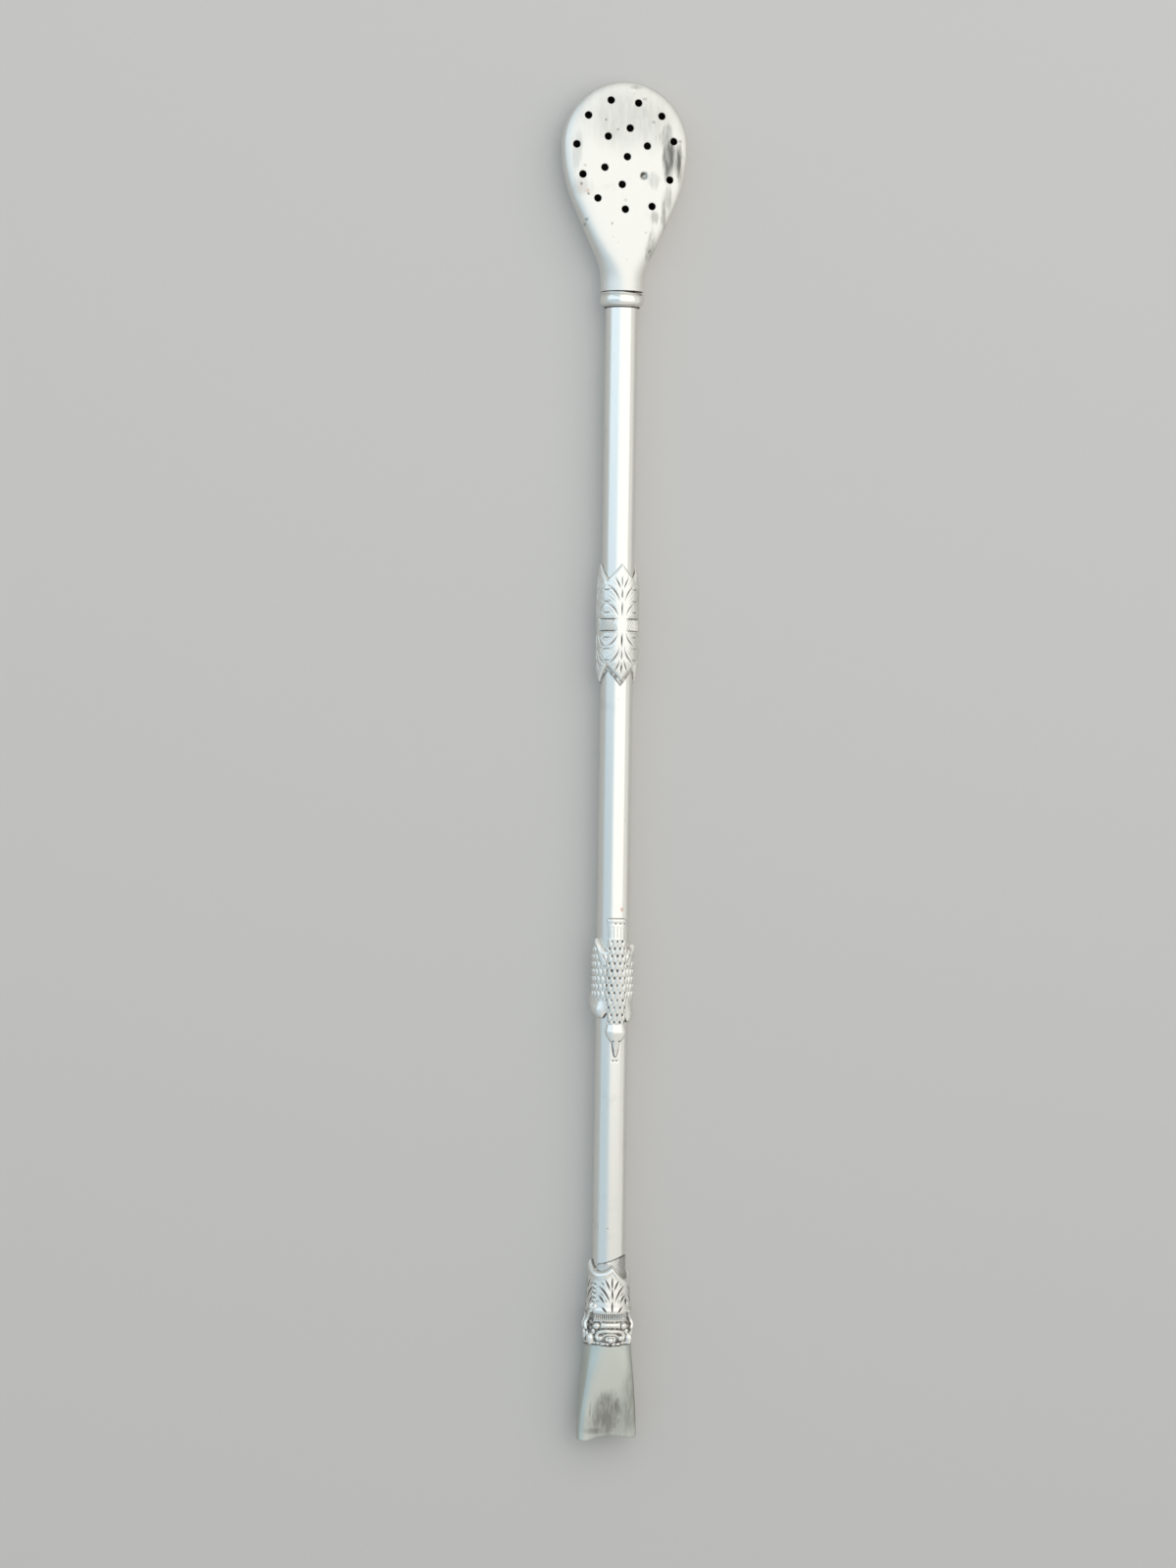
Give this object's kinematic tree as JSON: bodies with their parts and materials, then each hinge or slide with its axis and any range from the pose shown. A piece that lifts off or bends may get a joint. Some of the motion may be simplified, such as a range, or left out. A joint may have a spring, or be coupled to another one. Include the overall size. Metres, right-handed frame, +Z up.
{
  "type": "bombilla",
  "caption": "Metal mate straw with a perforated spoon strainer that unscrews, leaf and bird sleeves round the stem, and a flattened mouthpiece under a leaf collar.",
  "frame": {"origin": "middle of the footprint on the table that the straw lies on", "axes": "+Y along the straw to the strainer's tip, -Y to the mouth end, +Z up out of the bird's back and the bowl's front, +X to the right seen from above with the strainer away"},
  "size_m": [0.0206, 0.22, 0.0084],
  "materials": {
    "bowl_metal": "aged nickel silver, satin, with grey tarnish",
    "stem_metal": "aged nickel silver, satin, drawn lengthwise",
    "relief_metal": "cast nickel silver, worn bright on top and dark in the cuts",
    "mouth_metal": "aged nickel silver, satin, tarnished and scratched at the end",
    "thread_metal": "turned brass, dull"
  },
  "bodies": {
    "stem": {"stem_tube": "stem_metal", "stem_nipple": "thread_metal", "neck_ring": "stem_metal", "leaf_sleeve": "relief_metal", "bird_sleeve": "relief_metal", "mouth_collar": "relief_metal", "mouthpiece": "mouth_metal"},
    "bush": {"neck_bush": "thread_metal"},
    "strainer": {"strainer_front": "bowl_metal", "strainer_back": "bowl_metal"}
  },
  "joints": [
    {"name": "strainer_advance", "type": "slide", "parent": "stem", "child": "bush", "axis": [0, 1, 0], "range_m": [0, 0.0051]},
    {"name": "strainer_turn", "type": "hinge", "parent": "bush", "child": "strainer", "pos_m": [0, 0.076, 0.0042], "axis": [0, 1, 0], "range_deg": [0, 1800]}
  ],
  "couplings": [
    {"joint": "strainer_advance", "follows": "strainer_turn", "m_per_rad": 0.00015915}
  ]
}
